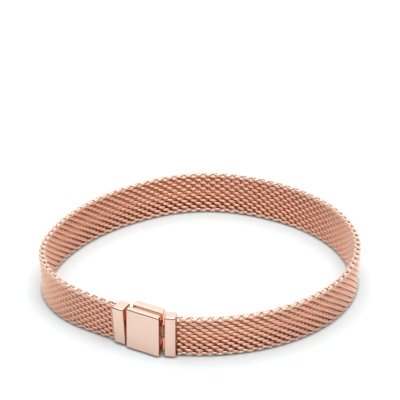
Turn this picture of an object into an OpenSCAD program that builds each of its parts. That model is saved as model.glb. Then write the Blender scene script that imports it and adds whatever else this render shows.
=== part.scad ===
// Mesh bracelet with a small box clasp, closed and lying on its side.
// Millimetres, Z up. The origin is under the middle of the bracelet, on the
// surface that it lies on. The clasp is in front (towards -Y), a little to the
// left, and its hinged cover faces outwards.

/* [Band] */
// Radius that the band's bends are measured by, to the middle of its thickness
loop_radius = 29.2; // [27:0.1:33]
// Height of the band, its width on the wrist
band_height = 7.9; // [7.1:0.1:12]
// Thickness of the woven band
band_thickness = 1.4; // [0.9:0.05:1.6]
// Bevel along the band's long edges
band_bevel = 0.3; // [0.1:0.05:0.4]
// Angle by which the standing band opens out towards its top
band_flare = 4; // [0:0.1:4.5]
// Length of the tongue at each end of the band, inside the strap end
band_seat = 0.4; // [0.2:0.05:0.4]
// How much lower the tongue is than the band, at its top and its bottom
seat_step = 0.35; // [0.3:0.05:0.5]

/* [Clasp] */
// Length of the clasp's outer face
clasp_length = 7.2; // [6.8:0.1:9]
// How far the clasp and the right strap end stand out past the band's edges
clasp_rise = 0.15; // [0.1:0.05:1]
// Thickness of the hinged cover
cover_thickness = 1.9; // [1.8:0.05:2.4]
// Thickness of the base, the half that lies against the wrist
base_thickness = 2.15; // [2.1:0.05:2.6]
// Groove between the cover and the base
parting_gap = 0.3; // [0.25:0.05:0.35]
// Angle of the clasp's right end, which faces the right strap end
end_slant = 14; // [12:0.5:16]
// Angle between the clasp and the X axis
clasp_turn = 33.3; // [0:0.1:45]
// Bevel on the sharp edges of the clasp and the strap ends
edge_bevel = 0.15; // [0.05:0.05:0.2]
// Bevel round the base's back, where it touches the wrist
back_bevel = 0.6; // [0.2:0.05:0.7]

/* [Hinge] */
// Diameter of the hinge pin
pin_d = 0.6; // [0.5:0.05:0.7]
// Distance of the pin from the clasp's right corner, along the clasp
pin_inset = 1.1; // [1.1:0.05:1.2]
// Radius of the lugs on the base that hold the pin
lug_radius = 0.6; // [0.5:0.05:0.62]
// Height of each lug
lug_height = 1; // [0.8:0.1:1.2]
// Distance of each lug from the clasp's end faces
lug_inset = 1.2; // [1.1:0.1:1.3]
// Thickness of the cover past the pin's upper end
pin_cap = 0.6; // [0.4:0.1:0.8]
// Depth of the pin's lower end inside the cover
pin_recess = 0.15; // [0.05:0.05:0.4]
// How far the cover is opened
cover_angle = 0; // [0:1:90]

/* [Left strap end] */
// Length of the left strap end
left_length = 2.5; // [2.2:0.1:3]
// Thickness of the left strap end
left_thickness = 2.9; // [2.8:0.1:3.1]
// How far the left strap end stands out past the band's edges
left_rise = 0; // [0:0.05:0.15]
// Angle by which the left strap end leans out at its top
left_lean = 7; // [5:0.5:7]
// Gap between the left strap end and the clasp
left_gap = 0.45; // [0.4:0.05:0.6]
// Diameter of the stud's neck
neck_d = 1.1; // [0.8:0.05:1.2]
// Diameter of the stud's head
head_d = 1.9; // [1.6:0.05:1.9]
// Length of the stud's head
head_length = 0.8; // [0.6:0.05:0.9]
// Depth of the clasp's mouth in front of the stud's head
mouth_lip = 1.2; // [1:0.05:1.3]

/* [Right strap end and link] */
// Length of the right strap end
right_length = 2.1; // [2:0.1:2.6]
// Thickness of the right strap end
right_thickness = 2.7; // [2.6:0.1:2.9]
// Gap between the clasp's right corner and the right strap end
right_gap = 0.7; // [0.65:0.05:0.8]
// Distance of the link from the right strap end's outer face, at its corner
right_link_depth = 2; // [1.9:0.05:2.05]
// Angle between the clasp and the right strap end
strap_turn = 25; // [22:0.5:26]
// Diameter of the link's wire
link_wire = 0.45; // [0.4:0.05:0.45]
// Diameter of the posts that the link goes round
post_d = 0.4; // [0.35:0.05:0.45]
// Distance of each post's axis from the face next to it
post_inset = 0.36; // [0.3:0.02:0.4]
// Thickness of the base in front of the link
link_wall = 0.3; // [0.25:0.05:0.4]

/* [Fits] */
// Clearance round the hinge pin
pin_clearance = 0.05; // [0.03:0.01:0.06]
// Clearance between the lugs and the cover
lug_clearance = 0.08; // [0.06:0.01:0.1]
// Clearance round the stud in the clasp
stud_clearance = 0.1; // [0.05:0.01:0.12]
// Clearance round the link
link_clearance = 0.05; // [0.03:0.01:0.08]
// Clearance round the band's ends in the strap ends
seat_clearance = 0.1; // [0.05:0.01:0.1]

/* [Hidden] */

// Finishes: the woven wire, the plain faces and the small hidden steel parts
mesh_colour = [0.80, 0.52, 0.42];
plain_colour = [0.90, 0.70, 0.62];
steel_colour = [0.72, 0.60, 0.56];

// How far a cut runs past the face that it opens
past = 1;
// How far pieces of one solid run into each other
overlap = 0.2;
// How much thinner, on each side, every second bend of the band is
hair = 0.02;

clasp_height = band_height + 2 * clasp_rise;
left_height = band_height + 2 * left_rise;
mid = clasp_height / 2;
base_front = cover_thickness + parting_gap;
clasp_depth = base_front + base_thickness;
parting = cover_thickness + parting_gap / 2;

// The link lies in a slit in the clasp's right end and in the strap end
slit_width = link_wire + 3 * link_clearance;
link_depth = base_front + link_wall + slit_width / 2;
right_setback = link_depth - right_link_depth;

// The plan is worked out in the clasp's own frame: X along the clasp from its
// left end, Y from its outer face towards the wrist, and headings are turned
// to the left, from the clasp round the wrist and back to it.

// Bends of the band, from the right strap end to the left one. Each is its
// share of the whole turn and its radius as a share of loop_radius. The two
// radii that are 0 are worked out below so that the band meets both ends.
bends = [
    [40, 1.00],
    [114, 0],
    [14, 1.20],
    [47, 0],
    [49, 1.35],
    [63, 0.71],
    [8, 2.20]
];
last = len(bends) - 1;
free = [for (n = [0 : last]) if (bends[n].y == 0) n];
free_side = free[0];
free_back = free[1];

function sum_to(n) = n == 0 ? 0 : bends[n - 1].x + sum_to(n - 1);
whole_turn = 360 - strap_turn;
function heading(n) = strap_turn + whole_turn * sum_to(n) / sum_to(last + 1);
function along(angle) = [cos(angle), sin(angle)];
function inward(angle) = [-sin(angle), cos(angle)];

// The way that a bend of radius 1 leads, from its start to its end
function way(n) = inward(heading(n)) - inward(heading(n + 1));

right_corner = [clasp_length + right_gap, right_setback];
band_start = right_corner + right_length * along(strap_turn)
    + right_thickness / 2 * inward(strap_turn);
band_end = [-left_gap - left_length, left_thickness / 2];

function chosen_way(n) = n > last ? [0, 0]
    : bends[n].y * loop_radius * way(n) + chosen_way(n + 1);
missing = band_end - band_start - chosen_way(0);
side_way = way(free_side);
back_way = way(free_back);
solver = side_way.x * back_way.y - side_way.y * back_way.x;
side_radius = (missing.x * back_way.y - missing.y * back_way.x) / solver;
back_radius = (side_way.x * missing.y - side_way.y * missing.x) / solver;

function radius(n) = n == free_side ? side_radius : n == free_back ? back_radius
    : bends[n].y * loop_radius;
function bend_start(n) = n == 0 ? band_start
    : bend_start(n - 1) + radius(n - 1) * way(n - 1);
function bend_centre(n) = bend_start(n) + radius(n) * inward(heading(n));

// The clasp's right end, and the right strap end's left face, at a depth
function clasp_end_x(depth) = clasp_length - depth * tan(end_slant);
function strap_face_x(depth) = right_corner.x - (depth - right_setback) * tan(strap_turn);

base_post_x = clasp_end_x(link_depth) - post_inset;
strap_post_x = strap_face_x(link_depth) + post_inset;
link_x = (base_post_x + strap_post_x) / 2;
link_inside = (strap_post_x - base_post_x) / 2 + post_d / 2 + link_clearance;
link_outside = link_inside + link_wire;
slit_reach = link_outside + link_clearance;

pin_x = clasp_length - pin_inset;
pin_y = cover_thickness / 2;
pin_top = clasp_height - pin_cap;
pin_hole_d = pin_d + 2 * pin_clearance;
lug_slot = lug_radius + lug_clearance;
// Each lug's neck is a little narrower than its round end
neck = 0.9 * lug_radius;

head_x = mouth_lip + stud_clearance;
head_room = head_length + 3 * stud_clearance;

// The model's frame: the clasp's frame turned, then moved so that the origin
// is under the middle of the outline.
reach = band_thickness / 2 * cos(band_flare) + (band_height / 2 - band_bevel) * sin(band_flare);
function turned(p) = [
    p.x * cos(clasp_turn) + p.y * sin(clasp_turn),
    p.y * cos(clasp_turn) - p.x * sin(clasp_turn)
];
outline = [
    for (n = [0 : last])
        for (share = [0 : 0.02 : 1])
            turned(bend_centre(n)
                - (radius(n) + reach) * inward(heading(n) * (1 - share) + heading(n + 1) * share)),
    turned([clasp_length - edge_bevel, 0]),
    turned([clasp_length, edge_bevel]),
    turned(right_corner + (right_length - edge_bevel) * along(strap_turn))
];
outline_x = [for (p = outline) p.x];
outline_y = [for (p = outline) p.y];
middle = [(min(outline_x) + max(outline_x)) / 2, (min(outline_y) + max(outline_y)) / 2];

module in_place() {
    translate([-middle.x, -middle.y, 0]) rotate([0, 0, -clasp_turn]) children();
}

// Lays an outline drawn as (towards the wrist, up) along the X axis
module along_x(length) {
    rotate([90, 0, 90]) linear_extrude(length) children();
}

module bevelled_rectangle(width, height, bevel) {
    polygon([
        [bevel, 0], [width - bevel, 0], [width, bevel], [width, height - bevel],
        [width - bevel, height], [bevel, height], [0, height - bevel], [0, bevel]
    ]);
}

module bevelled_block(length, thickness, height) {
    intersection() {
        linear_extrude(height) bevelled_rectangle(length, thickness, edge_bevel);
        along_x(length) bevelled_rectangle(thickness, height, edge_bevel);
        rotate([90, 0, 0]) translate([0, 0, -thickness]) linear_extrude(thickness)
            bevelled_rectangle(length, height, edge_bevel);
    }
}

// The band's cross-section, X away from the wrist, with a margin all round and
// lowered at its top and its bottom by a step
module band_section(margin, step = 0) {
    width = band_thickness + 2 * margin;
    height = band_height - 2 * step + 2 * margin;
    translate([0, mid]) rotate(-band_flare) translate([-width / 2, -height / 2])
        bevelled_rectangle(width, height, band_bevel);
}

// The band's straight tongue along X from x0 to x1, with a margin all round
module tongue(x0, x1, margin) {
    translate([x1, 0, 0]) rotate([90, 0, -90]) linear_extrude(x1 - x0)
        band_section(margin, seat_step);
}

// What is cut off above and below the tongue, from x0 to x1
module tongue_steps(x0, x1) {
    level = band_height / 2 - seat_step;
    translate([x0, 0, mid]) rotate([band_flare, 0, 0])
        for (z = [level, -level - past])
            translate([0, -band_thickness, z]) cube([x1 - x0, 2 * band_thickness, past]);
}

module at_band_start() {
    translate(band_start) rotate(strap_turn) children();
}

module at_band_end() {
    translate(band_end) children();
}

// Every second bend is a hair thinner and runs a little way into the bends
// next to it, so that they all join as one solid. The same holds for the
// straight ends, which sit inside the strap ends.
module mesh_band() {
    color(mesh_colour) in_place() {
        at_band_start() tongue(-band_seat, overlap, -hair);
        at_band_end() tongue(-overlap, band_seat, -hair);
        difference() {
            for (n = [0 : last]) {
                inner = n % 2;
                run_in = inner * overlap / radius(n) * 180 / PI;
                translate(bend_centre(n)) rotate(heading(n) - run_in - 90)
                    rotate_extrude(angle = heading(n + 1) - heading(n) + 2 * run_in, $fn = 240)
                        translate([radius(n), 0]) band_section(-inner * hair);
            }
            at_band_start() tongue_steps(-past, seat_clearance);
            at_band_end() tongue_steps(-seat_clearance, past);
        }
    }
}

// A cylinder along X from x0 to x1, on the stud's axis
module stud_cylinder(x0, x1, d) {
    translate([x0, parting, mid]) rotate([0, 90, 0]) cylinder(h = x1 - x0, d = d, $fn = 48);
}

module left_strap_end() {
    color(plain_colour) in_place() {
        difference() {
            at_band_end() translate([0, 0, mid]) rotate([left_lean, 0, 0])
                translate([0, -left_thickness / 2, -left_height / 2])
                    bevelled_block(left_length, left_thickness, left_height);
            at_band_end() tongue(-past, band_seat + seat_clearance, seat_clearance);
        }
        stud_cylinder(-left_gap - overlap, head_x + overlap, neck_d);
        stud_cylinder(head_x, head_x + head_length, head_d);
    }
}

// The hollow that the clasp's two halves share for the stud
module stud_hollow() {
    stud_cylinder(-past, mouth_lip + overlap, neck_d + 2 * stud_clearance);
    stud_cylinder(mouth_lip, mouth_lip + head_room, head_d + 2 * stud_clearance);
}

// A slit for the link, kept clear round a post that crosses it
module link_slit(post_x, x0, x1) {
    difference() {
        translate([x0, link_depth - slit_width / 2, mid - slit_reach])
            cube([x1 - x0, slit_width, 2 * slit_reach]);
        translate([post_x, link_depth - slit_width, mid]) rotate([-90, 0, 0])
            cylinder(h = 2 * slit_width, d = post_d, $fn = 32);
    }
}

// The clasp's closed outline seen from the side, cut to a range of depths
module clasp_half(front, back, plan) {
    intersection() {
        linear_extrude(clasp_height) polygon(plan);
        along_x(clasp_length) polygon([
            [edge_bevel, 0], [clasp_depth - back_bevel, 0], [clasp_depth, back_bevel],
            [clasp_depth, clasp_height - back_bevel], [clasp_depth - back_bevel, clasp_height],
            [edge_bevel, clasp_height], [0, clasp_height - edge_bevel], [0, edge_bevel]
        ]);
        translate([0, front, 0]) cube([clasp_length, back - front, clasp_height]);
    }
}

module at_each_lug(clearance) {
    for (z = [lug_inset, clasp_height - lug_inset - lug_height])
        translate([pin_x, pin_y, z - clearance]) children();
}

module pin_hole(bottom, top) {
    translate([pin_x, pin_y, bottom]) cylinder(h = top - bottom, d = pin_hole_d, $fn = 48);
}

module clasp_base() {
    color(plain_colour) in_place() difference() {
        union() {
            clasp_half(base_front, clasp_depth, [
                [0, base_front],
                [clasp_end_x(base_front), base_front],
                [clasp_end_x(clasp_depth - back_bevel), clasp_depth - back_bevel],
                [clasp_end_x(clasp_depth) - back_bevel, clasp_depth],
                [back_bevel, clasp_depth],
                [0, clasp_depth - back_bevel]
            ]);
            at_each_lug(0) {
                cylinder(h = lug_height, r = lug_radius, $fn = 48);
                translate([-neck, 0, 0])
                    cube([2 * neck, base_front - pin_y + overlap, lug_height]);
            }
        }
        stud_hollow();
        pin_hole(-past, clasp_height + past);
        link_slit(base_post_x, link_x - slit_reach, clasp_length);
    }
}

module clasp_cover() {
    turn_point = [pin_x, pin_y, 0];
    color(plain_colour) in_place()
        translate(turn_point) rotate([0, 0, cover_angle]) translate(-turn_point)
            difference() {
                clasp_half(0, cover_thickness, [
                    [edge_bevel, 0],
                    [clasp_length - edge_bevel, 0],
                    [clasp_end_x(edge_bevel), edge_bevel],
                    [clasp_end_x(cover_thickness), cover_thickness],
                    [0, cover_thickness],
                    [0, edge_bevel]
                ]);
                stud_hollow();
                pin_hole(-past, pin_top + 2 * pin_clearance);
                at_each_lug(lug_clearance) translate([-lug_slot, -lug_slot, 0])
                    cube([clasp_length, clasp_depth, lug_height + 2 * lug_clearance]);
            }
}

module hinge_pin() {
    color(steel_colour) in_place() translate([pin_x, pin_y, pin_recess])
        cylinder(h = pin_top - pin_recess, d = pin_d, $fn = 48);
}

module end_link() {
    color(steel_colour) in_place() translate([link_x, link_depth, mid]) rotate([90, 0, 0])
        rotate_extrude($fn = 64) translate([link_inside + link_wire / 2, 0])
            circle(d = link_wire, $fn = 24);
}

module right_strap_end() {
    color(plain_colour) in_place() difference() {
        translate(right_corner) rotate(strap_turn)
            bevelled_block(right_length, right_thickness, clasp_height);
        at_band_start() tongue(-band_seat - seat_clearance, past, seat_clearance);
        link_slit(strap_post_x, clasp_length - clasp_depth, link_x + slit_reach);
    }
}

mesh_band();
left_strap_end();
clasp_base();
clasp_cover();
hinge_pin();
end_link();
right_strap_end();
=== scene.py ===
# %% [markdown]
# # A woven mesh bracelet, closed and lying on its side
#
# The bracelet is a soft band of woven wire between two plain strap ends,
# closed by a small box clasp. The hard pieces come from a CAD model that fixes
# every size and place. This lesson dresses that model: it weaves the band from
# real coils of wire, gives the plain pieces rounded edges, and lights them all
# as in a small product studio.

import math

import bpy
from mathutils import Matrix, Vector


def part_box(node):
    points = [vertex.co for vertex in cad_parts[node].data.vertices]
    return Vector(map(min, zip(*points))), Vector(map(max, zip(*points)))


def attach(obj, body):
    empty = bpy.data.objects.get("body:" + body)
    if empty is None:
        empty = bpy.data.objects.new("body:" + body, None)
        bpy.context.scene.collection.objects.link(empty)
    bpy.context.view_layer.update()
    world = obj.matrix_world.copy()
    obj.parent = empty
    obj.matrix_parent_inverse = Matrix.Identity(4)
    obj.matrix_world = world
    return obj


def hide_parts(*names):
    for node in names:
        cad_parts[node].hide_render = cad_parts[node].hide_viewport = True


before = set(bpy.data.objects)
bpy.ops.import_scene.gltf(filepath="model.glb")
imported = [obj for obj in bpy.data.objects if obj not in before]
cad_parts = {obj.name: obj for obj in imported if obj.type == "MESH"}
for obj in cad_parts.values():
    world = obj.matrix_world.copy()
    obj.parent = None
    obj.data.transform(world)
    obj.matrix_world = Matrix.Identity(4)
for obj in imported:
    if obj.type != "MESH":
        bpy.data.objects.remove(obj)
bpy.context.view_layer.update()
MM = 0.001
print("CAD nodes:", sorted(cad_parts))

# %% [markdown]
# ## The camera
#
# The photograph was taken with a long lens, from in front and a little above.
# A long lens keeps the far side of the loop nearly as large as the near side,
# so the camera stands well back. It is set first, because each later choice is
# judged through it. An empty to aim at would work too, but working out the
# place from an angle and a distance leaves nothing extra in the scene.

# %% Camera
AIM = Vector((-0.0169, 34.4694, 0)) * MM
CAMERA_DISTANCE = 738.85 * MM
CAMERA_ELEVATION = math.radians(26.21)
LENS_MM = 335.97
SENSOR_MM = 36
NEAREST_SEEN = 50 * MM

camera_data = bpy.data.cameras.new("camera")
camera_data.lens = LENS_MM
camera_data.sensor_width = SENSOR_MM
camera_data.clip_start = NEAREST_SEEN
camera = bpy.data.objects.new("camera", camera_data)
bpy.context.scene.collection.objects.link(camera)
towards_camera = Vector((0, -math.cos(CAMERA_ELEVATION), math.sin(CAMERA_ELEVATION)))
camera.location = AIM + CAMERA_DISTANCE * towards_camera
camera.rotation_euler = (math.pi / 2 - CAMERA_ELEVATION, 0, 0)
bpy.context.scene.camera = camera
print("camera at", [round(x, 3) for x in camera.location], "m")

# %% [markdown]
# ## Small helpers
#
# Every operator works on what is selected, so each step starts by deselecting
# all. A finished piece has its place in its mesh and its object at the origin,
# as the CAD pieces do, so there is a helper that applies the place as well.


# %% Selecting, applying modifiers and placing
def select(*pieces):
    """Selects these objects alone and makes the first one active."""
    bpy.ops.object.select_all(action="DESELECT")
    for piece in pieces:
        piece.select_set(True)
    bpy.context.view_layer.objects.active = pieces[0]


def apply_modifier(piece, kind, **settings):
    """Adds one modifier with these settings and applies it."""
    select(piece)
    modifier = piece.modifiers.new(kind.lower(), kind)
    for name, value in settings.items():
        setattr(modifier, name, value)
    bpy.ops.object.modifier_apply(modifier=modifier.name)


def place(piece, matrix):
    """Moves a piece that was modelled at the origin, and applies the move."""
    select(piece)
    piece.matrix_world = matrix @ piece.matrix_world
    bpy.ops.object.transform_apply(location=True, rotation=True, scale=True)


# %% Editing the points, edges or faces that pass a test
def edit(piece, kind="VERT", test=None):
    """Opens a piece for editing with the parts that pass the test selected, or all."""
    select(piece)
    bpy.ops.object.mode_set(mode="EDIT")
    bpy.ops.mesh.select_mode(type=kind)
    bpy.ops.mesh.select_all(action="DESELECT" if test else "SELECT")
    if test:
        bpy.ops.object.mode_set(mode="OBJECT")
        parts = {"VERT": "vertices", "EDGE": "edges", "FACE": "polygons"}[kind]
        for part in getattr(piece.data, parts):
            part.select = test(part)
        bpy.ops.object.mode_set(mode="EDIT")


def done():
    """Closes the piece that is open for editing."""
    bpy.ops.object.mode_set(mode="OBJECT")


def triangles(piece):
    """How many triangles the piece has once it is exported."""
    return sum(len(face.vertices) - 2 for face in piece.data.polygons)


# %% [markdown]
# ## Where the clasp lies
#
# The plan is in the clasp's own frame: X along the clasp from its left end, Y
# from its outer face towards the wrist. The hinge pin's box in the CAD model
# tells where that frame lies, so no place has to be typed twice.

# %% The clasp's frame
CLASP_LENGTH = 7.2 * MM
CLASP_HEIGHT = 8.2 * MM
MID = CLASP_HEIGHT / 2
CLASP_TURN = math.radians(33.3)
PIN_X, PIN_Y = 6.1, 0.95

pin_low, pin_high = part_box("hinge_pin")
pin_centre = Vector(((pin_low.x + pin_high.x) / 2, (pin_low.y + pin_high.y) / 2, 0))
pin_in_plan = Vector((PIN_X, PIN_Y, 0)) * MM
turn_clasp = Matrix.Rotation(-CLASP_TURN, 4, "Z")
CLASP = Matrix.Translation(pin_centre - turn_clasp @ pin_in_plan) @ turn_clasp
print("clasp's corner at", [round(x / MM, 2) for x in CLASP.translation])

# %% [markdown]
# ## Where the band lies
#
# The band is a strip that bends round the wrist. Its route is seven arcs that
# run into each other, from the right strap end round to the left one. Each arc
# has a share of the whole turn, and a radius that is a share of the loop's. A
# radius that is None is worked out, so that the route meets both strap ends.

# %% The strap ends and the bends between them
STRAP_TURN = math.radians(25)
LEFT_LENGTH = 2.5 * MM
LEFT_THICKNESS = 2.9 * MM
LEFT_GAP = 0.45 * MM
RIGHT_LENGTH = 2.1 * MM
RIGHT_THICKNESS = 2.7 * MM
RIGHT_CORNER = Vector((7.9, 0.8, 0)) * MM
LOOP_RADIUS = 29.2 * MM
TURN_SHARES = [40, 114, 14, 47, 49, 63, 8]
RADIUS_SHARES = [1.0, None, 1.2, None, 1.35, 0.71, 2.2]


def along(heading):
    """The way the band runs where it has this heading."""
    return Vector((math.cos(heading), math.sin(heading), 0))


def inward(heading):
    """The way from the band towards the wrist where it has this heading."""
    return Vector((-math.sin(heading), math.cos(heading), 0))


BAND_START = (
    RIGHT_CORNER + RIGHT_LENGTH * along(STRAP_TURN) + RIGHT_THICKNESS / 2 * inward(STRAP_TURN)
)
BAND_END = Vector((-LEFT_GAP - LEFT_LENGTH, LEFT_THICKNESS / 2, 0))
print("band ends in mm:", [round(x / MM, 2) for x in (*BAND_START.xy, *BAND_END.xy)])

# %% Work out the two free radii
headings = [
    STRAP_TURN + (math.tau - STRAP_TURN) * sum(TURN_SHARES[:n]) / sum(TURN_SHARES)
    for n in range(len(TURN_SHARES) + 1)
]
ways = [inward(headings[n]) - inward(headings[n + 1]) for n in range(len(TURN_SHARES))]
missing = BAND_END - BAND_START
for share, way in zip(RADIUS_SHARES, ways):
    if share:
        missing = missing - share * LOOP_RADIUS * way
side, back = [way for share, way in zip(RADIUS_SHARES, ways) if share is None]
solver = side.x * back.y - side.y * back.x
solved = [
    (missing.x * back.y - missing.y * back.x) / solver,
    (side.x * missing.y - side.y * missing.x) / solver,
]
radii = [share * LOOP_RADIUS if share else solved.pop(0) for share in RADIUS_SHARES]
band_length = sum(
    radius * (headings[n + 1] - headings[n]) for n, radius in enumerate(radii)
)
print("band:", round(band_length / MM, 2), "mm; radii", [round(r / MM, 2) for r in radii])

# %% [markdown]
# ## The route as a curve
#
# A Curve modifier can bend a straight strip of mesh round a curve, so the route
# is drawn as one, with a point every half millimetre. The band opens out a
# little towards its top, and more so near the left strap end, and each point's
# tilt gives that lean.

# %% Points along the route
POINT_STEP = 0.5 * MM

route_points = []
corner, gone = BAND_START, 0
for n, radius in enumerate(radii):
    arc = radius * (headings[n + 1] - headings[n])
    steps = round(arc / POINT_STEP)
    for step in range(steps):
        heading = headings[n] + (headings[n + 1] - headings[n]) * step / steps
        point = corner + radius * (inward(headings[n]) - inward(heading))
        route_points.append((point, gone + arc * step / steps))
    corner = corner + radius * ways[n]
    gone += arc
route_points.append((corner, gone))
print("route has", len(route_points), "points")

# %% Draw the route
BAND_LEAN = math.radians(4)
BAND_DROP = 0.08 * MM
END_LEAN = math.radians(7)
END_LEAN_LENGTH = 12 * MM


def ease(share):
    """A smooth rise from 0 to 1."""
    return share * share * (3 - 2 * share)


route_data = bpy.data.curves.new("route", "CURVE")
route_data.dimensions = "3D"
route_data.twist_mode = "Z_UP"
spline = route_data.splines.new("POLY")
spline.points.add(len(route_points) - 1)
for curve_point, (point, distance) in zip(spline.points, route_points):
    curve_point.co = (*(CLASP @ point + Vector((0, 0, MID - BAND_DROP))), 1)
    near_left = max(0, 1 - (band_length - distance) / END_LEAN_LENGTH)
    curve_point.tilt = BAND_LEAN + (END_LEAN - BAND_LEAN) * ease(near_left)
route = bpy.data.objects.new("route", route_data)
bpy.context.scene.collection.objects.link(route)
print("lean at the left strap end:", round(math.degrees(spline.points[-1].tilt), 1), "degrees")

# %% [markdown]
# ## One coil of wire
#
# The mesh is made of flat coils that stand across the band, each one screwed
# through its neighbour. A coil is a helix of round wire pressed flat. The
# centre line of a helix is a single point that the Screw modifier turns and
# lifts, and a plane whose corners are merged gives that point. The line is
# pressed flat before it is made a wire, so that the wire stays round. At both
# ends the wire runs on for nearly half a turn without rising. That closes the
# coil in a flat loop, and these loops are the open edge that the band shows
# along its top.

# %% Wire and weave sizes
COILS = 182
TURNS = 6
WIRE = 0.52 * MM
BAND_HEIGHT = 7.95 * MM
COIL_HALF_LENGTH = 0.67 * MM
COIL_HALF_DEPTH = 0.43 * MM
FIRST_COIL = -0.65 * MM
STEPS_PER_TURN = 16
LOOP_STEPS = 7
pitch_along = (band_length - 2 * FIRST_COIL) / (COILS - 1)
pitch_up = (BAND_HEIGHT - WIRE) / TURNS
coil_top = TURNS * pitch_up / 2
print("coils every", round(pitch_along / MM, 3), "mm, turns every", round(pitch_up / MM, 3), "mm")

# %% Draw the coil's centre line
coil_steps = TURNS * STEPS_PER_TURN + 2 * LOOP_STEPS
turns_drawn = coil_steps / STEPS_PER_TURN
loop_angle = math.tau * LOOP_STEPS / STEPS_PER_TURN
bpy.ops.object.select_all(action="DESELECT")
bpy.ops.mesh.primitive_plane_add(size=WIRE)
coil = bpy.context.object
coil.name = "coil"
edit(coil)
bpy.ops.mesh.merge(type="CENTER")
bpy.ops.transform.translate(
    value=COIL_HALF_LENGTH * Vector((math.cos(loop_angle), math.sin(loop_angle), 0))
)
done()
apply_modifier(
    coil,
    "SCREW",
    axis="Z",
    angle=-math.tau * turns_drawn,
    screw_offset=pitch_up * turns_drawn,
    iterations=1,
    steps=coil_steps,
    render_steps=coil_steps,
    use_merge_vertices=False,
)
place(coil, Matrix.Translation((0, 0, -pitch_up * turns_drawn / 2)))
print("centre line:", len(coil.data.vertices), "points")

# %% [markdown]
# ## Where the wire climbs
#
# In a real mesh the wire lies level along the band's two faces and climbs in
# the bends between them. A plain helix climbs evenly, so each point of the line
# is moved by a sine of twice its angle, which takes the climb from the faces
# and gives it to the bends. A share of 1 does that fully, and 0 leaves the
# helix as it is.

# %% Let the wire climb in its bends
BEND_SHARE = 1.0

for vertex in coil.data.vertices:
    angle = math.atan2(vertex.co.y, vertex.co.x)
    vertex.co.z -= BEND_SHARE * pitch_up / (2 * math.tau) * math.sin(2 * angle)
print("climb moved by up to", round(BEND_SHARE * pitch_up / (2 * math.tau) / MM, 3), "mm")

# %% Level its ends, press it flat and make it a wire
WIRE_ROUNDNESS = 2

for end in (-coil_top, coil_top):
    edit(coil, "VERT", lambda vertex: vertex.co.z * end > end * end)
    bpy.ops.transform.resize(value=(1, 1, 0), center_override=(0, 0, end))
    done()
edit(coil)
bpy.ops.transform.resize(
    value=(1, COIL_HALF_DEPTH / COIL_HALF_LENGTH, 1), center_override=(0, 0, 0)
)
done()
bpy.ops.object.convert(target="CURVE")
coil.data.bevel_depth = WIRE / 2
coil.data.bevel_resolution = WIRE_ROUNDNESS
coil.data.use_fill_caps = True
bpy.ops.object.convert(target="MESH")
coil = bpy.context.object
print("one coil:", triangles(coil), "triangles", [round(x / MM, 2) for x in coil.dimensions])

# %% [markdown]
# ## Deep parts of the weave
#
# Between the wires the colour is painted a dark red brown, as painted shade
# for the shade deep in the weave, which is what makes the weave easy to read.
# It lies deep in the band, so each point of the coil keeps a number that says
# how deep it is: 0 at the band's two faces and 1 in the middle of its
# thickness. The loops along the band's two edges are rubbed most, so the
# number falls to -1 there. The copies carry it with them.

# %% Store the depth of each point
EDGE_FADE = 0.3 * MM
half_depth = COIL_HALF_DEPTH + WIRE / 2
depth = coil.data.attributes.new("depth", "FLOAT", "POINT")
for vertex in coil.data.vertices:
    from_edge = max(0, min(1, (coil_top - abs(vertex.co.z)) / EDGE_FADE))
    from_face = 1 - min(1, abs(vertex.co.y) / half_depth)
    depth.data[vertex.index].value = from_edge * from_face - (1 - from_edge)
print("mean depth", round(sum(d.value for d in depth.data) / len(depth.data), 2))

# %% [markdown]
# ## The dark middle of the band
#
# The real weave is so tight that no light comes through it, and one that is
# loose enough to draw lets some through. Thicker wire would close it, but it
# would fill the holes that give the mesh its look. So a thin strip stands in
# the middle of the band's thickness, out of sight between the coils: a sheet
# of painted shade, with the painted dark red brown of the deepest wire.


# %% A strip between two distances along the band
CORE_THICKNESS = 0.16 * MM
CORE_HEIGHT = 6.6 * MM


def length_along(piece, edge):
    """How far an edge goes along the band."""
    start, end = (piece.data.vertices[n].co for n in edge.vertices)
    return abs((end - start).x)


def shade_strip(start, end):
    """The strip of painted shade, cut into steps that are short enough to bend."""
    bpy.ops.object.select_all(action="DESELECT")
    bpy.ops.mesh.primitive_cube_add(size=1, location=((start + end) / 2, 0, 0))
    strip = bpy.context.object
    strip.scale = (end - start, CORE_THICKNESS, CORE_HEIGHT)
    place(strip, Matrix.Identity(4))
    edit(strip, "EDGE", lambda edge: length_along(strip, edge) > 0.5 * (end - start))
    bpy.ops.mesh.subdivide(number_cuts=round((end - start) / POINT_STEP))
    done()
    # Every point of the strip gets the full painted shade of the deepest wire.
    inside = strip.data.attributes.new("depth", "FLOAT", "POINT")
    for point in inside.data:
        point.value = 1
    return strip


print("dark strip:", round(CORE_THICKNESS / MM, 2), "by", round(CORE_HEIGHT / MM, 2), "mm")

# %% [markdown]
# ## The band
#
# Every second coil is half a turn round its neighbour, so that the coils hook
# into each other. Two Array modifiers make the even and the odd coils of a
# stretch, the stretch is joined and cut off level at the strap ends, and the
# Curve modifier bends it round the route. The band is made as two halves,
# which keeps each one light enough to handle.


# %% Weave a stretch of the band
SEAT = 0.03 * MM


def row_of_coils(first, count, turned):
    """Copies the coil along the band, at every second place from the first."""
    select(coil)
    bpy.ops.object.duplicate()
    row = bpy.context.object
    matrix = Matrix.Translation((FIRST_COIL + first * pitch_along, 0, 0))
    if turned:
        matrix = matrix @ Matrix.Rotation(math.pi, 4, "Z")
    place(row, matrix)
    apply_modifier(
        row,
        "ARRAY",
        count=count,
        use_relative_offset=False,
        use_constant_offset=True,
        constant_offset_displace=(2 * pitch_along, 0, 0),
    )
    return row


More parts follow.
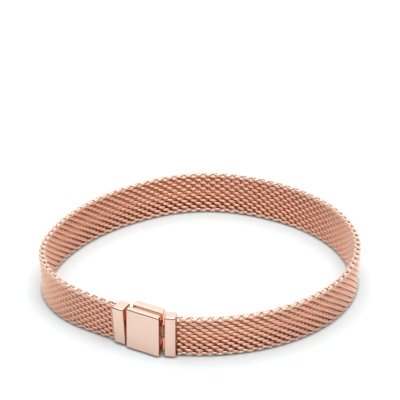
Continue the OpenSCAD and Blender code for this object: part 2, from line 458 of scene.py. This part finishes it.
def weave(name, first, count, start, end):
    """Weaves one stretch of the band and bends it round the route."""
    even = row_of_coils(first, (count + 1) // 2, first % 2 == 1)
    odd = row_of_coils(first + 1, count // 2, first % 2 == 0)
    select(even, odd, shade_strip(start, end))
    bpy.ops.object.join()
    band = bpy.context.object
    band.name = name
    for cut, way in ((-SEAT, -1), (band_length + SEAT, 1)):
        edit(band)
        bpy.ops.mesh.bisect(
            plane_co=(cut, 0, 0), plane_no=(way, 0, 0), use_fill=True, clear_outer=True
        )
        done()
    apply_modifier(band, "CURVE", object=route, deform_axis="POS_X")
    bpy.ops.object.shade_smooth()
    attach(band, "bracelet")
    print(name, triangles(band), "triangles")
    return band


# %% Weave the two halves
CORE_SEAT = 0.4 * MM

right_coils = COILS // 2
half_way = FIRST_COIL + (right_coils - 0.5) * pitch_along
right_weave = weave("right_weave", 0, right_coils, -CORE_SEAT, half_way)
left_weave = weave(
    "left_weave", right_coils, COILS - right_coils, half_way, band_length + CORE_SEAT
)
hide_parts("mesh_band")
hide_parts("mesh_band")
select(coil, route)
bpy.ops.object.delete()
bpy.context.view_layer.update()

# %% [markdown]
# ## Helpers for the plain pieces
#
# The strap ends and the clasp are small blocks of cast metal. Each starts as a
# cube in the clasp's own frame. Its edges are picked by where they lie and
# bevelled, and slots, bores and sockets are cut with other solids. Only then
# is the finished block moved to its place on the bracelet. The sizes of the
# blocks are plain numbers of millimetres.


# %% Boxes and rods
ROD_SIDES = 48


def box(name, low, high):
    """A cube that fills the space between two corners, given in millimetres."""
    low, high = Vector(low) * MM, Vector(high) * MM
    bpy.ops.object.select_all(action="DESELECT")
    bpy.ops.mesh.primitive_cube_add(size=1, location=(low + high) / 2)
    piece = bpy.context.object
    piece.name = name
    piece.scale = high - low
    place(piece, Matrix.Identity(4))
    return piece


def rod(name, start, end, radius, sides=ROD_SIDES):
    """A cylinder from one point to another, in millimetres."""
    start, end = Vector(start) * MM, Vector(end) * MM
    bpy.ops.object.select_all(action="DESELECT")
    bpy.ops.mesh.primitive_cylinder_add(
        vertices=sides,
        radius=radius * MM,
        depth=(end - start).length,
        location=(start + end) / 2,
        rotation=(end - start).to_track_quat("Z", "Y").to_euler(),
    )
    piece = bpy.context.object
    piece.name = name
    place(piece, Matrix.Identity(4))
    return piece


# %% Cuts and rounded edges
NEAR = 0.01
ROUND_STEPS = 5
SOFT_STEPS = 3
SHARP_ANGLE = math.radians(40)


def shape(piece, operation, *others):
    """Cuts other solids out of a piece, or joins them to it, and removes them."""
    for other in others:
        apply_modifier(piece, "BOOLEAN", operation=operation, object=other, solver="EXACT")
        select(other)
        bpy.ops.object.delete()
    return piece


def at(value, *spots):
    """True where a number of millimetres is at one of these places."""
    return any(abs(value - spot) < NEAR for spot in spots)


def middle(piece, edge):
    """The middle of an edge, in millimetres."""
    start, end = (piece.data.vertices[n].co for n in edge.vertices)
    return (start + end) / 2 / MM


def round_edges(piece, radius, test, segments=ROUND_STEPS):
    """Rounds the edges whose middles pass the test."""
    edit(piece, "EDGE", lambda edge: test(middle(piece, edge)))
    bpy.ops.mesh.bevel(offset=radius * MM, segments=segments, profile=0.5, affect="EDGES")
    done()


def soften(piece, radius):
    """Rounds every edge that is still sharp by a small radius."""
    apply_modifier(
        piece,
        "BEVEL",
        width=radius * MM,
        segments=SOFT_STEPS,
        limit_method="ANGLE",
        angle_limit=SHARP_ANGLE,
    )


# %% [markdown]
# ## Rims and hidden faces
#
# Plating is rubbed bright along the edges, and the faces in the gaps between
# the blocks are painted dark and red, as painted shade. A finish can't know
# where these are, so each face of a block keeps two numbers for them: rim,
# for the narrow faces that a bevel made, and a second one for the faces that
# look into a gap and get the painted shade. Painting the two areas by hand
# would look the same, but it would have to be done again after each change of
# size.


# %% Mark the faces and finish a block
FLAT_AREA = 1.2 * MM * MM
SAME_WAY = 0.999
GAP_FACING = 0.8
FACE_WEIGHT = 100


def mark(piece, name, test):
    """Gives each face 1 where it passes the test, and 0 elsewhere."""
    marks = piece.data.attributes.new(name, "FLOAT", "FACE")
    for face in piece.data.polygons:
        marks.data[face.index].value = 1 if test(face) else 0


def finish_block(piece, body, node, hidden):
    """Marks and smooths a block, moves it to its place and puts it in for its CAD node."""
    flat = [face.normal.copy() for face in piece.data.polygons if face.area > FLAT_AREA]
    mark(piece, "rim", lambda face: all(face.normal.dot(way) <= SAME_WAY for way in flat))
    # Faces that pass the second test are painted with the shade of the gaps.
    mark(piece, "hidden", lambda face: hidden(face.center / MM, face.normal))
    place(piece, CLASP)
    select(piece)
    bpy.ops.object.shade_smooth_by_angle(angle=SHARP_ANGLE)
    apply_modifier(piece, "WEIGHTED_NORMAL", weight=FACE_WEIGHT, keep_sharp=True)
    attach(piece, body)
    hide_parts(node)
    print(piece.name, triangles(piece), "triangles")


# %% [markdown]
# ## What the clasp holds
#
# The left strap end has a headed stud, and the clasp's two halves share a mouth
# that closes round it. On the right a ring of wire joins the base to the right
# strap end: it passes round a post in a slit of each. Each hollow is a little
# larger than what it holds. A solid that cuts one reaches past the face that it
# opens, and solids that are joined overlap, so that no two faces coincide.

# %% The clasp's two halves, in millimetres
COVER_DEPTH = 1.9
BASE_FRONT = 2.2
CLASP_DEPTH = 4.35
END_SLANT = math.tan(math.radians(14))
clasp_length = CLASP_LENGTH / MM
clasp_height = CLASP_HEIGHT / MM
LEVEL = clasp_height / 2
PAST = 1
OVERLAP = 0.2
print("groove between cover and base:", round(BASE_FRONT - COVER_DEPTH, 2), "mm")

# %% The stud's hollow
STUD_DEPTH = 2.05
MOUTH_LIP = 1.2
MOUTH_RADIUS = 0.65
ROOM_RADIUS = 1.05
ROOM_END = 2.3


def mouth():
    """The hollow for the stud: a narrow way in and a wide room for the head."""
    way_in_end = (MOUTH_LIP + OVERLAP, STUD_DEPTH, LEVEL)
    narrow = rod("mouth", (-PAST, STUD_DEPTH, LEVEL), way_in_end, MOUTH_RADIUS)
    room_start = (MOUTH_LIP, STUD_DEPTH, LEVEL)
    wide = rod("room", room_start, (ROOM_END, STUD_DEPTH, LEVEL), ROOM_RADIUS)
    return shape(narrow, "UNION", wide)


# %% The pin's hollow and the slanted end
BORE_RADIUS = 0.35
LUG_RADIUS = 0.6
LUG_CLEARANCE = 0.08
LUGS = ((1.2, 2.2), (6.0, 7.0))


def bore(top):
    """The round hole for the pin, from under the clasp up to this height."""
    return rod("bore", (PIN_X, PIN_Y, -PAST), (PIN_X, PIN_Y, top), BORE_RADIUS)


def slant_end(piece, depth):
    """Moves the right end's corners at this depth back, more the deeper they are."""
    edit(piece, "VERT", lambda v: at(v.co.x / MM, clasp_length) and at(v.co.y / MM, depth))
    bpy.ops.transform.translate(value=(-depth * END_SLANT * MM, 0, 0))
    done()


# %% The ring's hollows
LINK_DEPTH = 2.8
LINK_WIRE = 0.45
LINK_CLEARANCE = 0.05
SLIT_HALF = 0.3
POST_RADIUS = 0.2
POST_SIDES = 24
POST_INSET = 0.36

base_post_x = clasp_length - LINK_DEPTH * END_SLANT - POST_INSET
strap_post_x = (
    RIGHT_CORNER.x / MM - (LINK_DEPTH - RIGHT_CORNER.y / MM) * math.tan(STRAP_TURN) + POST_INSET
)
link_x = (base_post_x + strap_post_x) / 2
slit_reach = strap_post_x - link_x + POST_RADIUS + LINK_WIRE + 2 * LINK_CLEARANCE


def link_slit(post):
    """The ring's slit, less the post that stands in it."""
    slit = box(
        "slit",
        (link_x - slit_reach, LINK_DEPTH - SLIT_HALF, LEVEL - slit_reach),
        (link_x + slit_reach, LINK_DEPTH + SLIT_HALF, LEVEL + slit_reach),
    )
    front, behind = (post, LINK_DEPTH - PAST, LEVEL), (post, LINK_DEPTH + PAST, LEVEL)
    return shape(slit, "DIFFERENCE", rod("post", front, behind, POST_RADIUS, POST_SIDES))


print("ring's middle at", round(link_x, 3), "mm, slits", round(2 * slit_reach, 3), "mm high")

# %% [markdown]
# ## The clasp's cover
#
# The cover is the outer plate of the clasp, which swings outwards on a pin at
# its right end. Its right end slants back to leave room for the strap end. Its
# front is rounded like a thin pillow, and the edges at its back are rounded
# most, which opens the groove between the two plates. The large rounding comes
# first and the small one after it, because a bevel can't widen an edge that
# another bevel has already cut into strips.

# %% Model the cover
FRONT_ROUND = 0.45
COVER_BACK_ROUND = 1.2
COVER_BACK_STEPS = 8
COVER_SOFT = 0.34
BORE_TOP = 7.7
LUG_ROOM = LUG_RADIUS + LUG_CLEARANCE
SLOT_END, SLOT_BACK = 9, 3

cover = box("hinged_cover", (0, 0, 0), (clasp_length, COVER_DEPTH, clasp_height))
slant_end(cover, COVER_DEPTH)
round_edges(
    cover,
    COVER_BACK_ROUND,
    lambda p: at(p.y, COVER_DEPTH) and at(p.z, 0, clasp_height),
    COVER_BACK_STEPS,
)
round_edges(cover, FRONT_ROUND, lambda p: at(p.y, 0) and at(p.z, 0, clasp_height))
soften(cover, COVER_SOFT)
shape(
    cover,
    "DIFFERENCE",
    mouth(),
    bore(BORE_TOP),
    *(
        box(
            "lug_slot",
            (PIN_X - LUG_ROOM, PIN_Y - LUG_ROOM, low - LUG_CLEARANCE),
            (SLOT_END, SLOT_BACK, high + LUG_CLEARANCE),
        )
        for low, high in LUGS
    ),
)
finish_block(cover, "cover", "clasp_cover", lambda p, n: n.x > GAP_FACING)

# %% [markdown]
# ## The clasp's base
#
# The base lies against the wrist, so its back edges are rounded all round. Its
# front is rounded at the top and the bottom, and shows as a tan strip above the
# cover's back. Two lugs stand forward from it and hold the hinge pin inside the
# cover.

# %% Model the base
BASE_BACK_ROUND = 0.6
BASE_BACK_STEPS = 6
BASE_FRONT_ROUND = 0.8
BASE_SOFT = 0.15
LUG_NECK = 0.9 * LUG_RADIUS
LUG_MARGIN = 0.02

base = box("clasp_back_plate", (0, BASE_FRONT, 0), (clasp_length, CLASP_DEPTH, clasp_height))
slant_end(base, BASE_FRONT)
slant_end(base, CLASP_DEPTH)
round_edges(base, BASE_BACK_ROUND, lambda p: at(p.y, CLASP_DEPTH), BASE_BACK_STEPS)
round_edges(
    base, BASE_FRONT_ROUND, lambda p: at(p.y, BASE_FRONT) and at(p.z, 0, clasp_height)
)
soften(base, BASE_SOFT)
for low, high in LUGS:
    lug = rod("lug", (PIN_X, PIN_Y, low), (PIN_X, PIN_Y, high), LUG_RADIUS)
    neck = box(
        "neck",
        (PIN_X - LUG_NECK, PIN_Y, low),
        (PIN_X + LUG_NECK, BASE_FRONT + OVERLAP, high),
    )
    shape(base, "UNION", shape(lug, "UNION", neck))
shape(base, "DIFFERENCE", mouth(), bore(clasp_height + PAST), link_slit(base_post_x))
finish_block(
    base,
    "bracelet",
    "clasp_base",
    lambda p, n: n.x > GAP_FACING or p.y < BASE_FRONT - LUG_MARGIN,
)

# %% [markdown]
# ## The strap ends
#
# Each strap end is a plain block that the band is soldered into, so the side
# towards the band has a shallow socket. The left one leans out a little at its
# top and carries the stud. It is modelled upright, with its socket, and leaned
# afterwards, and the stud is joined last because it lies level.

# %% The socket for the band
SOCKET_DEPTH = 0.5
SOCKET_WIDTH = 1.56
SOCKET_HEIGHT = 7.7


def band_socket(left, right, middle_y, middle_z):
    """The shallow hollow that an end of the band goes into."""
    return box(
        "socket",
        (left, middle_y - SOCKET_WIDTH / 2, middle_z - SOCKET_HEIGHT / 2),
        (right, middle_y + SOCKET_WIDTH / 2, middle_z + SOCKET_HEIGHT / 2),
    )


# %% Model the left strap end
LEFT_HEIGHT = 7.9
LEFT_SOFT = 0.38
NECK_RADIUS, NECK_END = 0.55, 1.4
HEAD_RADIUS = 0.95
HEAD_START, HEAD_END = 1.3, 2.1
HEAD_SOFT = 0.1
STUD_SHOWS_FROM = -0.4
left_length, left_depth = LEFT_LENGTH / MM, LEFT_THICKNESS / MM

left_end = box(
    "left_block",
    (0, -left_depth / 2, -LEFT_HEIGHT / 2),
    (left_length, left_depth / 2, LEFT_HEIGHT / 2),
)
round_edges(
    left_end,
    FRONT_ROUND,
    lambda p: at(p.y, -left_depth / 2) and at(p.z, -LEFT_HEIGHT / 2, LEFT_HEIGHT / 2),
)
soften(left_end, LEFT_SOFT)
shape(left_end, "DIFFERENCE", band_socket(-PAST, SOCKET_DEPTH, 0, 0))
lean = Matrix.Rotation(END_LEAN, 4, "X")
place(left_end, Matrix.Translation(BAND_END + Vector((0, 0, MID))) @ lean)
neck_start = (-LEFT_GAP / MM - OVERLAP, STUD_DEPTH, LEVEL)
stud = rod("neck", neck_start, (NECK_END, STUD_DEPTH, LEVEL), NECK_RADIUS)
head = rod("head", (HEAD_START, STUD_DEPTH, LEVEL), (HEAD_END, STUD_DEPTH, LEVEL), HEAD_RADIUS)
soften(head, HEAD_SOFT)
shape(left_end, "UNION", shape(stud, "UNION", head))
finish_block(
    left_end,
    "bracelet",
    "left_strap_end",
    lambda p, n: n.x > GAP_FACING or p.x > STUD_SHOWS_FROM,
)

# %% Model the right strap end
RIGHT_SOFT = 0.34
right_length, right_depth = RIGHT_LENGTH / MM, RIGHT_THICKNESS / MM

right_end = box("right_block", (0, 0, 0), (right_length, right_depth, clasp_height))
round_edges(right_end, FRONT_ROUND, lambda p: at(p.y, 0) and at(p.z, 0, clasp_height))
soften(right_end, RIGHT_SOFT)
shape(
    right_end,
    "DIFFERENCE",
    band_socket(right_length - SOCKET_DEPTH, right_length + PAST, right_depth / 2, LEVEL),
)
place(right_end, Matrix.Translation(RIGHT_CORNER) @ Matrix.Rotation(STRAP_TURN, 4, "Z"))
shape(right_end, "DIFFERENCE", link_slit(strap_post_x))
finish_block(right_end, "bracelet", "right_strap_end", lambda p, n: n.x < -GAP_FACING)

# %% [markdown]
# ## Floor
#
# The floor is a plain pale plane. It is wide enough to fill the view and to be
# what the lower faces of the bracelet reflect.

# %% Lay the floor
FLOOR_SIZE = 3

bpy.ops.object.select_all(action="DESELECT")
bpy.ops.mesh.primitive_plane_add(size=FLOOR_SIZE)
floor = bpy.context.object
floor.name = "floor"
print("floor:", FLOOR_SIZE, "m wide")

# %% [markdown]
# ## Finishes
#
# A finish is a small network of shader nodes, and so is the light of the world
# around the bracelet. Writing one as sums is easier to read than wiring nodes
# one by one, so a socket is wrapped in a class whose operators add Math nodes,
# and every other node comes from one method.


# %% A socket that can be used in sums
class Value:
    """A node's output. Each operator on it adds one Math node."""

    def __init__(self, network, socket):
        self.network, self.socket = network, socket

    def __add__(self, other):
        return self.network.math("ADD", self, other)

    def __sub__(self, other):
        return self.network.math("SUBTRACT", self, other)

    def __rsub__(self, other):
        return self.network.math("SUBTRACT", other, self)

    def __mul__(self, other):
        return self.network.math("MULTIPLY", self, other)

    __radd__ = __add__
    __rmul__ = __mul__


# %% A network of nodes
class Network:
    """The nodes of a material or a world, made from code."""

    def __init__(self, owner):
        owner.use_nodes = True
        self.owner, self.tree = owner, owner.node_tree
        self.tree.nodes.clear()

    def node(self, kind, settings=None, sockets=None, output=0):
        """Adds a node: its settings first, then its sockets' values or links."""
        made = self.tree.nodes.new(kind)
        for name, value in (settings or {}).items():
            setattr(made, name, value)
        for name, value in (sockets or {}).items():
            if isinstance(value, Value):
                self.tree.links.new(value.socket, made.inputs[name])
            else:
                made.inputs[name].default_value = value
        return Value(self, made.outputs[output]) if len(made.outputs) else None

    def math(self, operation, *values):
        """One Math node."""
        return self.node("ShaderNodeMath", {"operation": operation}, dict(enumerate(values)))

    def ramp(self, value, start, end):
        """0 up to the start, 1 from the end, and a smooth rise between them."""
        return self.node(
            "ShaderNodeMapRange",
            {"interpolation_type": "SMOOTHSTEP"},
            {"Value": value, "From Min": start, "From Max": end},
        )


# %% A finish
class Finish(Network):
    """A material."""

    def __init__(self, name):
        super().__init__(bpy.data.materials.new(name))

    def place(self):
        """Where a point lies on the bracelet, in metres."""
        return self.node("ShaderNodeTexCoord", output=3)

    def kept(self, name):
        """A number that the mesh keeps for each point or face."""
        return self.node("ShaderNodeAttribute", {"attribute_name": name}, output=2)

    def noise(self, where, scale, detail=3):
        """A soft random pattern between 0 and 1."""
        return self.node(
            "ShaderNodeTexNoise", {}, {"Vector": where, "Scale": scale, "Detail": detail}
        )

    def blend(self, share, low, high):
        """A colour between two others."""
        return self.node(
            "ShaderNodeMix", {"data_type": "RGBA"}, {0: share, 6: low, 7: high}, output=2
        )

    def bump(self, height, strength, distance):
        """A surface that a pattern raises by this distance at most."""
        return self.node(
            "ShaderNodeBump", {}, {"Height": height, "Strength": strength, "Distance": distance}
        )

    def finish(self, **sockets):
        """Ends the network in a Principled shader."""
        named = {name.replace("_", " "): value for name, value in sockets.items()}
        shader = self.node("ShaderNodeBsdfPrincipled", {}, named)
        self.node("ShaderNodeOutputMaterial", {}, {"Surface": shader})
        print(self.owner.name, "has", len(self.tree.nodes), "nodes")

    def dress(self, *pieces):
        """Gives each piece this material alone."""
        for piece in pieces:
            piece.data.materials.clear()
            piece.data.materials.append(self.owner)


# %% [markdown]
# ## Rose gold wire
#
# The wire is steel plated in rose gold. The faces of the band keep the bright
# plating colour, the colour is painted a deep red brown between the wires as
# painted shade, and the loops along the edges are rubbed paler. All three
# follow the depth that each point keeps.
# Soft patches stop the change from being the same on every coil, and a fine
# grain dulls the shine. A picture of mesh on a smooth strip would be quicker,
# but it would not hold up from the side.

# %% Wire finish
WIRE_BRIGHT = (0.95, 0.62, 0.485, 1)
# The deep colour is painted shade: a dark red brown where the wire lies deep between the coils.
WIRE_DEEP_SHADE = (0.97, 0.46, 0.27, 1)
WIRE_RUBBED = (0.88, 0.63, 0.52, 1)
DEEP_FROM, DEEP_TO = 0.18, 0.6
RUBBED_FROM, RUBBED_TO = -0.1, -0.8
PATCH_SCALE, PATCH_SHIFT, PATCH_ROUGH = 260, 0.16, 0.12
GRAIN_SCALE, GRAIN_DETAIL, GRAIN_BUMP, GRAIN_HEIGHT = 9000, 2, 0.12, 0.03 * MM
WIRE_ROUGH, DEEP_ROUGH = 0.24, 0.15

wire = Finish("rose_gold_wire")
where = wire.place()
patches = wire.noise(where, PATCH_SCALE)
grain = wire.noise(where, GRAIN_SCALE, GRAIN_DETAIL)
depth = wire.kept("depth")
# The deep share of the colour is painted shade, strongest in the middle of the band.
deep_shade = wire.ramp(depth + patches * PATCH_SHIFT - PATCH_SHIFT / 2, DEEP_FROM, DEEP_TO)
rubbed = wire.ramp(depth, RUBBED_FROM, RUBBED_TO)
wire.finish(
    Base_Color=wire.blend(rubbed, wire.blend(deep_shade, WIRE_BRIGHT, WIRE_DEEP_SHADE), WIRE_RUBBED),
    Metallic=1.0,
    Roughness=patches * PATCH_ROUGH + deep_shade * DEEP_ROUGH + WIRE_ROUGH,
    Normal=wire.bump(grain, GRAIN_BUMP, GRAIN_HEIGHT),
)
wire.dress(right_weave, left_weave)

# %% [markdown]
# ## Plain rose gold
#
# The blocks have the same plating on smooth metal, with a satin grain. Faint
# clouds of a warmer tone keep the flat faces from looking empty. The rims are
# polished, without clouds, and the faces that look into a gap are painted a
# deep red tone as painted shade, like the wire between its coils.

# %% Plain finish
PLAIN_BRIGHT = (0.85, 0.605, 0.505, 1)
PLAIN_WARM = (0.825, 0.57, 0.465, 1)
# The deep colour is painted shade for the faces that look into a gap.
PLAIN_GAP_SHADE = (0.93, 0.43, 0.24, 1)
CLOUD_SCALE, CLOUD_ROUGH = 180, 0.08
SATIN_SCALE, SATIN_DETAIL, SATIN_ROUGH = 14000, 2, 0.06
SATIN_BUMP, SATIN_HEIGHT = 0.08, 0.02 * MM
PLAIN_ROUGH, RIM_POLISH = 0.22, 0.1

plain = Finish("satin_rose_gold")
where = plain.place()
clouds = plain.noise(where, CLOUD_SCALE)
satin = plain.noise(where, SATIN_SCALE, SATIN_DETAIL)
rim = plain.kept("rim")
hidden = plain.kept("hidden")
face_colour = plain.blend(clouds * (1 - rim), PLAIN_BRIGHT, PLAIN_WARM)
plain.finish(
    Base_Color=plain.blend(hidden, face_colour, PLAIN_GAP_SHADE),
    Metallic=1.0,
    Roughness=clouds * CLOUD_ROUGH + satin * SATIN_ROUGH - rim * RIM_POLISH + PLAIN_ROUGH,
    Normal=plain.bump(satin, SATIN_BUMP, SATIN_HEIGHT),
)
plain.dress(cover, base, left_end, right_end)

# %% [markdown]
# ## The pin and the ring
#
# The hinge pin and the ring are the CAD model's own pieces, because their
# shape is right already. They are polished wire with small specks of wear, and
# their colour is painted darker than the blocks' as painted shade, because
# they lie in the gaps.

# %% Small parts' finish
SMALL_BRIGHT = (0.9, 0.62, 0.5, 1)
# The darker colour draws the specks of wear and is also painted shade for the gaps.
SMALL_SHADE_AND_SPECKS = (0.8, 0.4, 0.26, 1)
SPECK_SCALE, SPECK_FROM, SPECK_TO = 1500, 0.35, 0.65
SPECK_ROUGH, SPECK_BUMP, SPECK_HEIGHT = 0.2, 0.1, 0.03 * MM
SMALL_ROUGH = 0.12

small = Finish("polished_small_parts")
specks = small.noise(small.place(), SPECK_SCALE)
small.finish(
    Base_Color=small.blend(
        small.ramp(specks, SPECK_FROM, SPECK_TO), SMALL_SHADE_AND_SPECKS, SMALL_BRIGHT
    ),
    Metallic=1.0,
    Roughness=specks * SPECK_ROUGH + SMALL_ROUGH,
    Normal=small.bump(specks, SPECK_BUMP, SPECK_HEIGHT),
)
small.dress(bpy.data.objects["hinge_pin"], bpy.data.objects["end_link"])

# %% [markdown]
# ## The table
#
# The photograph's floor is nearly free of shadow, but for a thin grey line
# where the bracelet touches it. A table that glows faintly from below, as in
# many product studios, gives the first. For the second, an Ambient Occlusion
# node measures how much of the space close to a point is open, and the paper
# darkens where little of it is. It is a touch bluer than white, which cancels
# the warm light that the rose gold throws on it.

# %% Table finish
FLOOR_LOW = (0.875, 0.945, 0.96, 1)
FLOOR_HIGH = (0.905, 0.972, 0.985, 1)
CONTACT_SHADE = (0.5, 0.53, 0.54, 1)
CONTACT_REACH, CONTACT_SAMPLES = 0.8 * MM, 8
OPEN_SHARE, CLOSED_SHARE = 0.95, 0.5
FIBRE_SCALE, PAPER_ROUGH, TABLE_GLOW = 900, 0.9, 0.05

paper = Finish("studio_paper")
fibres = paper.noise(paper.place(), FIBRE_SCALE)
open_share = paper.node(
    "ShaderNodeAmbientOcclusion", {"samples": CONTACT_SAMPLES}, {"Distance": CONTACT_REACH}, 1
)
table = paper.blend(
    paper.ramp(open_share, OPEN_SHARE, CLOSED_SHARE),
    paper.blend(fibres, FLOOR_LOW, FLOOR_HIGH),
    CONTACT_SHADE,
)
paper.finish(
    Base_Color=table,
    Roughness=PAPER_ROUGH,
    Emission_Color=table,
    Emission_Strength=TABLE_GLOW,
)
paper.dress(floor)

# %% [markdown]
# ## Light
#
# Polished metal shows what it mirrors, so the world is lit for its reflections.
# In front it is dark up to some way above the horizon and bright overhead. The
# rounded front edges of the blocks mirror the dark part, which draws a thin
# dark line along them, as in the photograph. Behind the bracelet it is bright
# down to the floor, which gives the tops of the blocks and the far mesh their
# gleam. A picture of a studio could do this too, but three brightness levels
# are easier to adjust.

# %% World
FRONT_DARK_TO, FRONT_FULL_FROM = 0.5, 0.8
FRONT_DARK, FRONT_BRIGHT = 0.06, 1.68
BACK_FROM, BACK_FULL_FROM = 0.3, 0.88
BACK_LEVEL = 1.3

world = bpy.data.worlds.new("studio")
studio = Network(world)
direction = studio.node("ShaderNodeTexCoord")
back_way = studio.node("ShaderNodeSeparateXYZ", {}, {"Vector": direction}, "Y")
up_way = studio.node("ShaderNodeSeparateXYZ", {}, {"Vector": direction}, "Z")
overhead = studio.ramp(up_way, FRONT_DARK_TO, FRONT_FULL_FROM)
front_level = overhead * (FRONT_BRIGHT - FRONT_DARK) + FRONT_DARK
behind = studio.ramp(back_way, BACK_FROM, BACK_FULL_FROM)
glow = front_level * (1 - behind) + behind * BACK_LEVEL
background = studio.node(
    "ShaderNodeBackground", {}, {"Color": (1, 1, 1, 1), "Strength": glow}
)
studio.node("ShaderNodeOutputWorld", {}, {"Surface": background})
bpy.context.scene.world = world
bpy.context.scene.view_settings.view_transform = "Standard"
print("world has", len(studio.tree.nodes), "nodes")

# %% [markdown]
# ## One soft box
#
# A single square light, high in front and to the right, gives the shine a
# direction. It is large for its distance, so its shadows stay soft, and the
# camera doesn't see it.


# %% Area light
def soft_box(name, size, azimuth, elevation, distance, power):
    """Adds a square area light that faces the bracelet."""
    light = bpy.data.lights.new(name, "AREA")
    light.size = size
    light.energy = power
    lamp = bpy.data.objects.new(name, light)
    bpy.context.scene.collection.objects.link(lamp)
    turn, rise = math.radians(azimuth), math.radians(elevation)
    level = math.cos(rise)
    way = Vector((math.sin(turn) * level, -math.cos(turn) * level, math.sin(rise)))
    lamp.location = way * distance
    lamp.rotation_euler = way.to_track_quat("Z", "Y").to_euler()
    lamp.visible_camera = False
    print(name, "at", [round(x, 2) for x in lamp.location], "m")


soft_box("top_box", size=0.35, azimuth=30, elevation=62, distance=0.7, power=0.6)
